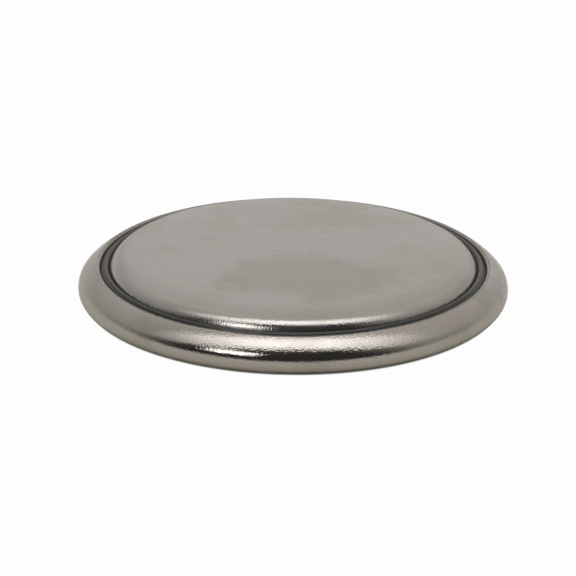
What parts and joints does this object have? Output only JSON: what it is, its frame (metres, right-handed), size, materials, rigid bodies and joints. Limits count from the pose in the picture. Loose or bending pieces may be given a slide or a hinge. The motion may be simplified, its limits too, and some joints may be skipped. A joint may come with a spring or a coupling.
{
  "type": "lithium coin cell",
  "caption": "Flat round lithium coin cell: a crimped metal can, a sealing gasket and a raised negative cap closed over its electrode stack.",
  "frame": {"origin": "centre of the flat positive face, which the cell lies on", "axes": "+Z along the cell's axis, out of the negative cap; X and Y are alike, because every piece but the collector's net is round"},
  "size_m": [0.016, 0.016, 0.0016],
  "materials": {
    "can_steel": "satin nickel plate",
    "cap_steel": "satin stainless steel",
    "seal": "matt polypropylene with a bitumen seal film",
    "lithium": "dull rolled foil",
    "felt": "non-woven felt",
    "oxide": "pressed powder",
    "net_steel": "plain expanded metal"
  },
  "bodies": {
    "root": {"positive_can": "can_steel", "negative_cap": "cap_steel", "gasket": "seal", "lithium_anode": "lithium", "separator": "felt", "cathode_pellet": "oxide", "current_collector": "net_steel"}
  },
  "joints": []
}
